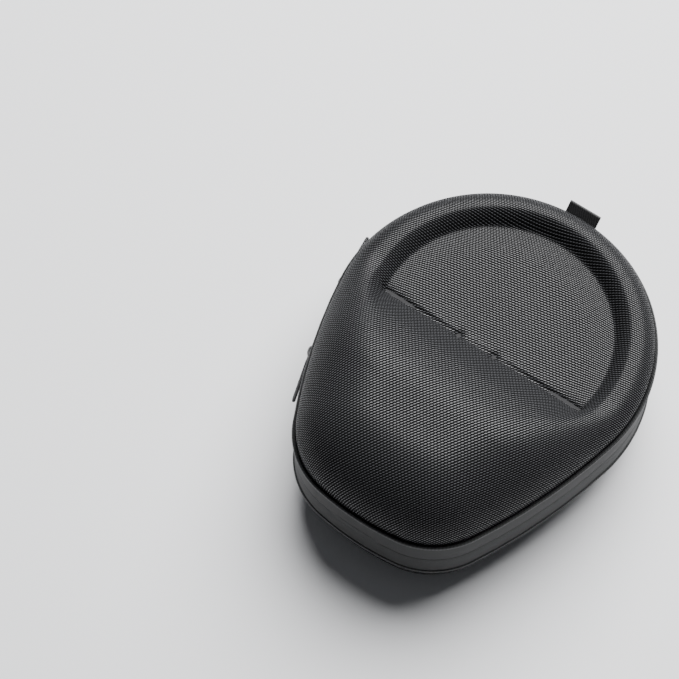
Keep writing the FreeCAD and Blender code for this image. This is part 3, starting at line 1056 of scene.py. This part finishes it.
class CASE_OT_zip_coils(BuildStep):
    """Spiral coil of each side: a sewn cord and its turns"""
    bl_idname = "case.zip_coils"
    bl_label = "Zip coils"

    def build(self, scene):
        zips = scene.case_zip
        wall = scene.case_outline.band_wall
        count = int(outline_length() / zips.tooth_pitch)
        for name, body, node, way in (("lid_coil", "lid", "lid_zip_coil", 1),
                                      ("base_coil", "base", "base_zip_coil", -1)):
            low, high = (corner.z for corner in box_of(node))
            bm = bmesh.new()
            sweep(bm, rounded_section(wall + zips.cord_out, wall + zips.cord_in, low, high, COIL_EDGE, 2),
                  arcs_past_hinge(zips.hinge_half))
            reach = SLOT_HALF + LAP
            middle = (low + high) / 2 - way * reach / 2
            for i in range(count):
                along = (i + 0.5 - 0.25 * way) * zips.tooth_pitch
                point, out = outline_point(along, wall + (zips.cord_out + zips.cord_in) / 2)
                if hinge_angle(point) < zips.hinge_half:
                    continue
                turn = math.atan2(out.y, out.x)
                size = Matrix.Diagonal((zips.tooth_wide, zips.tooth_pitch * 0.42, high - low + reach, 1.0))
                tooth = Matrix.Translation((point.x, point.y, middle)) @ Matrix.Rotation(turn, 4, "Z") @ size
                bmesh.ops.create_cube(bm, size=1.0, matrix=tooth)
            wrap_length(bm)
            place(bm, name, coil_plastic, body, node, slot="zip_coil", shade=False)


class CASE_OT_hinge(BuildStep):
    """Cloth across the hinge: a panel outside and a gusset inside"""
    bl_idname = "case.hinge"
    bl_label = "Hinge cloth"

    def build(self, scene):
        zips = scene.case_zip
        first, last = outline_arcs()[3][3:]
        half = (last - first) / 2
        bm = self.strip(half, -zips.panel_proud, zips.panel_wall,
                        PARTING - zips.panel_half, PARTING + zips.panel_half)
        centre = Vector((0, outline_arcs()[3][1], 0))
        for vert in bm.verts:
            tuck = smooth((hinge_angle(vert.co) - half + zips.panel_tuck) / zips.panel_tuck)
            inward = Vector((centre.x - vert.co.x, centre.y - vert.co.y, 0)).normalized()
            vert.co += inward * float(tuck) * zips.panel_wall
        self.bend(zips, place(bm, "hinge_panel", tape_cloth, None, slot="binding_tape"))

        low, high = (corner.z for corner in box_of("hinge_gusset"))
        inset = scene.case_outline.band_wall + zips.binding + zips.gusset_gap
        bm = self.strip(zips.hinge_half - zips.gusset_short, inset, zips.gusset_wall, low, high)
        gusset = place(bm, "hinge_gusset_cloth", binding_cloth, None, "hinge_gusset", slot="binding_tape")
        self.bend(zips, gusset)

    def strip(self, half, inset, thick, low, high, cuts=24):
        """A strip of cloth along the flat end, cut across at even steps of height."""
        bm = bmesh.new()
        sweep(bm, rounded_section(inset, inset + thick, low, high, thick * 0.45, 2), hinge_arc(half), 1.0)
        bmesh.ops.triangulate(bm, faces=[f for f in bm.faces if len(f.verts) > 4])
        for step in range(1, cuts):
            bmesh.ops.bisect_plane(bm, geom=bm.verts[:] + bm.edges[:] + bm.faces[:], dist=1e-7,
                                   plane_co=(0, 0, low + (high - low) * step / cuts), plane_no=(0, 0, 1))
        wrap_length(bm)
        return bm

    def bend(self, zips, piece):
        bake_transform(piece)


def segment_depth(radius, chord_y):
    """Depth of a plan point inside a disc about the recess centre, cut off at chord_y."""
    centre_y = ROUND_Y + bpy.context.scene.case_lid.recess_shift
    return lambda x, y: np.minimum(radius - np.hypot(x, y - centre_y), y - chord_y)


class CASE_OT_island(BuildStep):
    """Padded island that the ear cups sit round"""
    bl_idname = "case.island"
    bl_label = "Island"

    def build(self, scene):
        inside = scene.case_inside
        lid = scene.case_lid
        low, high = box_of("island_cover")
        radius = (high.x - low.x) / 2
        depth_of = segment_depth(radius, low.y)
        bm, x, y = plan_grid(110, 0.0002, depth_of, (low.y + high.y) / 2)
        depth = depth_of(x, y)
        rise = high.z - low.z - inside.island_crown
        edge = inside.island_edge
        at = np.clip(depth / edge, 0.0, 1.0)
        crown = inside.island_crown * smooth(depth / (radius * 0.7))
        set_heights(bm, x, y, low.z + rise - edge + edge * np.sqrt(1 - (1 - at) ** 2) + crown)
        free = edge_wall(bm, lid.wall, 5)
        face_outwards(bm, True)
        bmesh.ops.contextual_create(bm, geom=free)
        bmesh.ops.recalc_face_normals(bm, faces=bm.faces)
        wrap_weave(bm, base_stretch)
        piece = place(bm, "island_pad", brushed_lining, "base", "island_cover", "island_foam",
                      slot="soft_lining")


class CASE_OT_pocket(BuildStep):
    """Net pocket in the lid, its bound edge and its elastic mouth"""
    bl_idname = "case.pocket"
    bl_label = "Net pocket"

    def build(self, scene):
        inside = scene.case_inside
        low, high = box_of("pocket_mesh")
        radius = (high.x - low.x) / 2
        depth_of = segment_depth(radius, low.y)
        bm, x, y = plan_grid(70, 0.0003, depth_of, (low.y + high.y) / 2)
        sag = inside.net_sag * smooth(depth_of(x, y) / (radius * 0.5))
        set_heights(bm, x, y, (low.z + high.z) / 2 - sag)
        wrap_weave(bm, lambda co, depth: np.zeros(len(co)))
        face_outwards(bm, False)
        bmesh.ops.solidify(bm, geom=bm.faces[:], thickness=inside.net_wall)
        net = place(bm, "pocket_net", net_cloth, "lid", "pocket_mesh", slot="mesh")
        drop = ROUND_Y + scene.case_lid.recess_shift - low.y
        half_chord = math.sqrt(radius ** 2 - drop ** 2)
        area = math.pi * radius ** 2 / 2 + drop * half_chord + radius ** 2 * math.asin(drop / radius)

        edge_low, edge_high = box_of("pocket_binding")
        bm = bmesh.new()
        turn = math.asin(drop / radius)
        arc = (0.0, ROUND_Y + scene.case_lid.recess_shift, radius, -turn, math.pi + turn)
        sweep(bm, rounded_section(0.0, inside.pocket_edge, edge_low.z, edge_high.z, POCKET_EDGE, 3), [arc])
        wrap_length(bm)
        place(bm, "pocket_edge", binding_cloth, "lid", "pocket_binding", slot="binding_tape")

        low, high = box_of("pocket_elastic")
        bm = bmesh.new()
        bmesh.ops.create_grid(bm, x_segments=260, y_segments=6, size=0.5)
        half = (high.x - low.x) / 2
        for vert in bm.verts:
            x = vert.co.x * 2 * half
            gather = math.sin(x / inside.gather_pitch * 2 * math.pi) * inside.gather_depth
            vert.co = (x, (low.y + high.y) / 2 + vert.co.y * (high.y - low.y) * (1 + gather * 120),
                       (low.z + high.z) / 2 + gather)
        wrap_weave(bm, lambda co, depth: np.zeros(len(co)))
        face_outwards(bm, False)
        bmesh.ops.solidify(bm, geom=bm.faces[:], thickness=inside.elastic_wall)
        place(bm, "pocket_mouth", elastic_cloth, "lid", "pocket_elastic", slot="elastic")


class CASE_OT_pull_tab(BuildStep):
    """Folded webbing tab in the lid's seam"""
    bl_idname = "case.pull_tab"
    bl_label = "Pull tab"

    def build(self, scene):
        trim = scene.case_trim
        half = trim.tab_width / 2
        layer = trim.tab_wall * 0.45
        bm = bmesh.new()
        outline = []
        fold = trim.tab_wall / 2
        for step in range(9):
            turn = -math.pi / 2 + math.pi * step / 8
            outline.append((trim.tab_reach - fold + fold * math.cos(turn), fold * math.sin(turn)))
        inner = fold - layer
        outline += [(-TAB_BURIED, fold), (-TAB_BURIED, inner)]
        for step in range(5):
            turn = math.pi / 2 - math.pi * step / 4
            outline.append((trim.tab_reach - fold + inner * math.cos(turn), inner * math.sin(turn)))
        outline += [(-TAB_BURIED, -inner), (-TAB_BURIED, -fold)]
        ring = [bm.verts.new((-half, a, b)) for a, b in outline]
        end = bm.faces.new(ring)
        grown = bmesh.ops.extrude_face_region(bm, geom=[end])["geom"]
        bmesh.ops.translate(bm, vec=(trim.tab_width, 0, 0), verts=verts_of(grown))
        bmesh.ops.recalc_face_normals(bm, faces=bm.faces)
        sides = [e for e in bm.edges if abs(e.verts[0].co.x - e.verts[1].co.x) < 1e-6]
        bevel(bm, sides, SOFT_EDGE, 2)
        seam = box_of("lid_piping")
        root = Vector((0, LENGTH / 2 - trim.tab_root, (seam[0].z + seam[1].z) / 2))
        turn = Matrix.Translation(root) @ Matrix.Rotation(trim.tab_angle, 4, "X")
        bmesh.ops.transform(bm, matrix=turn, verts=bm.verts)
        place(bm, "pull_tab_webbing", webbing_cloth, "lid", "lid_pull_tab", slot="webbing",
              shade=False)


def track_place(front):
    """Turns a local (along, outward, up) point into place on a slider's track."""
    zips = bpy.context.scene.case_zip
    arcs = outline_arcs()
    x, y, radius, first, last = arcs[0] if front else arcs[1]
    angle = last - zips.front_park / radius if front else first + zips.rear_park / radius
    out = Vector((math.cos(angle), math.sin(angle), 0))
    along = Vector((out.y, -out.x, 0)) if front else Vector((-out.y, out.x, 0))
    up = Vector((0, 0, 1))
    spot = Vector((x, y, PARTING)) + out * radius
    return Matrix((
        (along.x, out.x, up.x, spot.x),
        (along.y, out.y, up.y, spot.y),
        (along.z, out.z, up.z, spot.z),
        (0, 0, 0, 1)))


def block(bm, low, high, edge, waist=1.0):
    """A bevelled block between two local corners, its far end narrowed to waist."""
    size = Vector(high) - Vector(low)
    middle = (Vector(high) + Vector(low)) / 2
    shape = Matrix.Translation(middle) @ Matrix.Diagonal((*size, 1.0))
    made = bmesh.ops.create_cube(bm, size=1.0, matrix=shape)
    for vert in made["verts"]:
        if vert.co.x > middle.x:
            vert.co.z = middle.z + (vert.co.z - middle.z) * waist
    edges = list({e for v in made["verts"] for e in v.link_edges})
    bevel(bm, edges, edge, 3)


def loop_of_wire(bm, long, wide, corner, wire, lift, turns=36, section=10):
    """A wire loop in the along-up plane: a torus whose quarters are moved apart."""
    made = bmesh.ops.create_circle(bm, segments=section, radius=wire,
                                   matrix=Matrix.Translation((corner, lift, 0)))
    start = math.pi / turns
    bmesh.ops.rotate(bm, verts=made["verts"], cent=(0, lift, 0), matrix=Matrix.Rotation(-start, 3, "Y"))
    edges = list({e for v in made["verts"] for e in v.link_edges})
    bmesh.ops.spin(bm, geom=made["verts"] + edges, cent=(0, lift, 0), axis=(0, 1, 0),
                   angle=2 * math.pi, steps=turns, use_merge=True)
    for vert in bm.verts:
        vert.co.x += math.copysign(long / 2 - corner, vert.co.x)
        vert.co.z += math.copysign(wide / 2 - corner, vert.co.z)


class CASE_OT_sliders(BuildStep):
    """Both zip sliders, their bridges, wire links and braided straps"""
    bl_idname = "case.sliders"
    bl_label = "Zip sliders"

    def build(self, scene):
        for name, front in (("front", True), ("rear", False)):
            where = track_place(front)
            self.body(scene, name, where)
            self.bridge(scene, name, where)
            self.link(scene, name, where)
            self.strap(scene, name, where)

    def put(self, bm, where, *args, **kwargs):
        bmesh.ops.transform(bm, matrix=where, verts=bm.verts)
        bmesh.ops.recalc_face_normals(bm, faces=bm.faces)
        return place(bm, *args, **kwargs)

    def body(self, scene, name, where):
        zips = scene.case_zip
        inner = -scene.case_outline.band_wall - zips.coil_wall - zips.run_gap
        half = zips.plate_length / 2
        tall = zips.plate_height / 2
        bm = bmesh.new()
        outer = zips.run_gap + zips.plate_wall
        block(bm, (-half, zips.run_gap, -tall), (half, outer, tall), zips.plate_edge, zips.plate_waist)
        block(bm, (-half, inner - zips.plate_wall, -tall), (half, inner, tall),
              zips.inner_edge, zips.plate_waist)
        block(bm, (-zips.keel_length / 2, inner - LAP, -zips.keel_height / 2),
              (zips.keel_length / 2, zips.run_gap + LAP, zips.keel_height / 2), zips.keel_edge)
        self.put(bm, where, name + "_slider_body", painted_zinc, name + "_slider",
                 name + "_slider", slot="slider_metal")

    def bridge(self, scene, name, where):
        zips = scene.case_zip
        foot = zips.run_gap + zips.plate_wall - BRIDGE_SUNK
        rise = zips.bridge_rise + BRIDGE_SUNK
        bm = bmesh.new()
        ring = [bm.verts.new((rise - dx, foot, dz)) for dx, dz in
                ((0, -zips.bridge_width / 2), (0, zips.bridge_width / 2),
                 (zips.bridge_bar, zips.bridge_width / 2), (zips.bridge_bar, -zips.bridge_width / 2))]
        edges = [bm.edges.new((ring[i - 1], ring[i])) for i in range(4)]
        bm.faces.new(ring)
        spun = bmesh.ops.spin(bm, geom=ring + edges, cent=(0, foot, 0), axis=(0, 0, 1), angle=math.pi,
                              steps=15, use_merge=False)
        bmesh.ops.contextual_create(bm, geom=edges_of(spun["geom_last"]))
        for vert in bm.verts:
            vert.co.x += math.copysign(zips.bridge_length / 2 - rise, vert.co.x)
        bmesh.ops.remove_doubles(bm, verts=bm.verts, dist=1e-6)
        bmesh.ops.recalc_face_normals(bm, faces=bm.faces)
        sharp = [e for e in bm.edges if e.is_manifold and e.calc_face_angle() > 1.0]
        bevel(bm, sharp, SOFT_EDGE, 2)
        self.put(bm, where, name + "_slider_bridge", painted_zinc, name + "_slider",
                 name + "_slider_crown", slot="slider_metal")

    def link(self, scene, name, where):
        zips = scene.case_zip
        bm = bmesh.new()
        wide = zips.link_width - zips.wire * 2
        loop_of_wire(bm, zips.link_length + zips.wire, wide, WIRE_CORNER, zips.wire, zips.pivot_out)
        bmesh.ops.translate(bm, vec=(zips.link_length / 2 - zips.wire * 0.5, 0, 0), verts=bm.verts)
        self.put(bm, where, name + "_puller_wire", painted_zinc, name + "_puller",
                 name + "_puller_link", slot="slider_metal")

    def strap(self, scene, name, where):
        zips = scene.case_zip
        bm = bmesh.new()
        made = bmesh.ops.create_circle(bm, segments=20, radius=1.0, cap_ends=True)
        bmesh.ops.rotate(bm, verts=made["verts"], matrix=Matrix.Rotation(math.pi / 2, 3, "Y"))
        ring = made["verts"]
        face = ring[0].link_faces[0]
        steps = int(zips.strap_length / STRAP_STEP)
        tip = zips.strap_width / 2
        shapes = []
        for i in range(steps + 1):
            at = zips.strap_length * i / steps
            left = zips.strap_length - at
            end = 1.0 if left > tip else math.sqrt(max(0.02, 1 - ((tip - left) / tip) ** 2))
            root = 1.0 if at > STRAP_ROOT else math.sqrt(max(0.1, 1 - ((STRAP_ROOT - at) / STRAP_ROOT) ** 2))
            rib = 1 + RIB_SWELL * math.sin(at / zips.strap_rib * 2 * math.pi)
            shapes.append((zips.strap_start + at, rib * root * (0.55 + 0.45 * end), rib * end * root))
        flat = [[math.copysign(abs(c) ** SQUARED, c) for c in v.co.yz] for v in ring]
        for index, (along, thick, wide) in enumerate(shapes):
            if index:
                grown = bmesh.ops.extrude_discrete_faces(bm, faces=[face])
                face = grown["faces"][0]
            for vert, (out, up) in zip(face.verts, flat):
                vert.co = (along, zips.pivot_out + out * thick * zips.strap_wall / 2,
                           up * wide * zips.strap_width / 2)
        bmesh.ops.holes_fill(bm, edges=[e for e in bm.edges if e.is_boundary])
        self.put(bm, where, name + "_puller_cord", braid_cloth, name + "_puller",
                 name + "_puller_strap", slot="puller_cord")


class CASE_OT_stage(BuildStep):
    """Floor, lights and camera"""
    bl_idname = "case.stage"
    bl_label = "Stage"

    def build(self, scene):
        stage = scene.case_stage
        bm = bmesh.new()
        bmesh.ops.create_grid(bm, x_segments=2, y_segments=2, size=6.0)
        floor = place(bm, "floor", studio_floor, None)
        floor.data.transform(Matrix.Translation((0, 0, -FLOOR_GAP)))
        scene.world = scene.world or bpy.data.worlds.new("surroundings")
        scene.world.use_nodes = True
        sky = scene.world.node_tree.nodes["Background"]
        sky.inputs["Color"].default_value = (0.93, 0.95, 1.0, 1.0)
        sky.inputs["Strength"].default_value = stage.fill_level
        self.lamp("window", stage.key_place, (0, 0, 0.05), stage.key_size, stage.key_power)
        lens = bpy.data.cameras.new("view")
        lens.lens = stage.lens
        lens.sensor_width = 36.0
        camera = bpy.data.objects.new("view", lens)
        camera.location = stage.camera_place
        camera.rotation_euler = (math.pi / 2 - stage.camera_tilt, 0.0, stage.camera_turn)
        scene.collection.objects.link(camera)
        scene.camera = camera

    def lamp(self, name, spot, aim, size, power):
        light = bpy.data.lights.new(name, "AREA")
        light.shape = "DISK"
        light.size = size
        light.energy = power
        lamp = bpy.data.objects.new(name, light)
        lamp.location = spot
        lamp.rotation_euler = (Vector(aim) - Vector(spot)).to_track_quat("-Z", "Y").to_euler()
        bpy.context.scene.collection.objects.link(lamp)


SETTINGS = {"case_outline": CaseOutline, "case_lid": CaseLid, "case_zip": CaseZip, "case_inside": CaseInside,
            "case_trim": CaseTrim, "case_finish": CaseFinish, "case_stage": CaseStage}
GROUPS = list(SETTINGS.values())
STEPS = [CASE_OT_stage, CASE_OT_lid_shell, CASE_OT_base_shell, CASE_OT_foam, CASE_OT_bands, CASE_OT_piping,
         CASE_OT_zip_coils, CASE_OT_hinge, CASE_OT_island, CASE_OT_pocket, CASE_OT_pull_tab, CASE_OT_sliders]


class CASE_PT_panel(Panel):
    """Buttons for every group of pieces"""
    bl_idname = "CASE_PT_panel"
    bl_label = "Headphone case"
    bl_space_type = "VIEW_3D"
    bl_region_type = "UI"
    bl_category = "Case"

    def draw(self, context):
        for step in STEPS:
            self.layout.operator(step.bl_idname)


def register():
    for item in GROUPS + STEPS + [CASE_PT_panel]:
        bpy.utils.register_class(item)
    for name, group in SETTINGS.items():
        setattr(bpy.types.Scene, name, PointerProperty(type=group))


def unregister():
    for name in SETTINGS:
        delattr(bpy.types.Scene, name)
    for item in reversed(GROUPS + STEPS + [CASE_PT_panel]):
        bpy.utils.unregister_class(item)


def main():
    register()
    for step in STEPS:
        area, name = step.bl_idname.split(".")
        getattr(getattr(bpy.ops, area), name)()


if __name__ == "__main__":
    main()
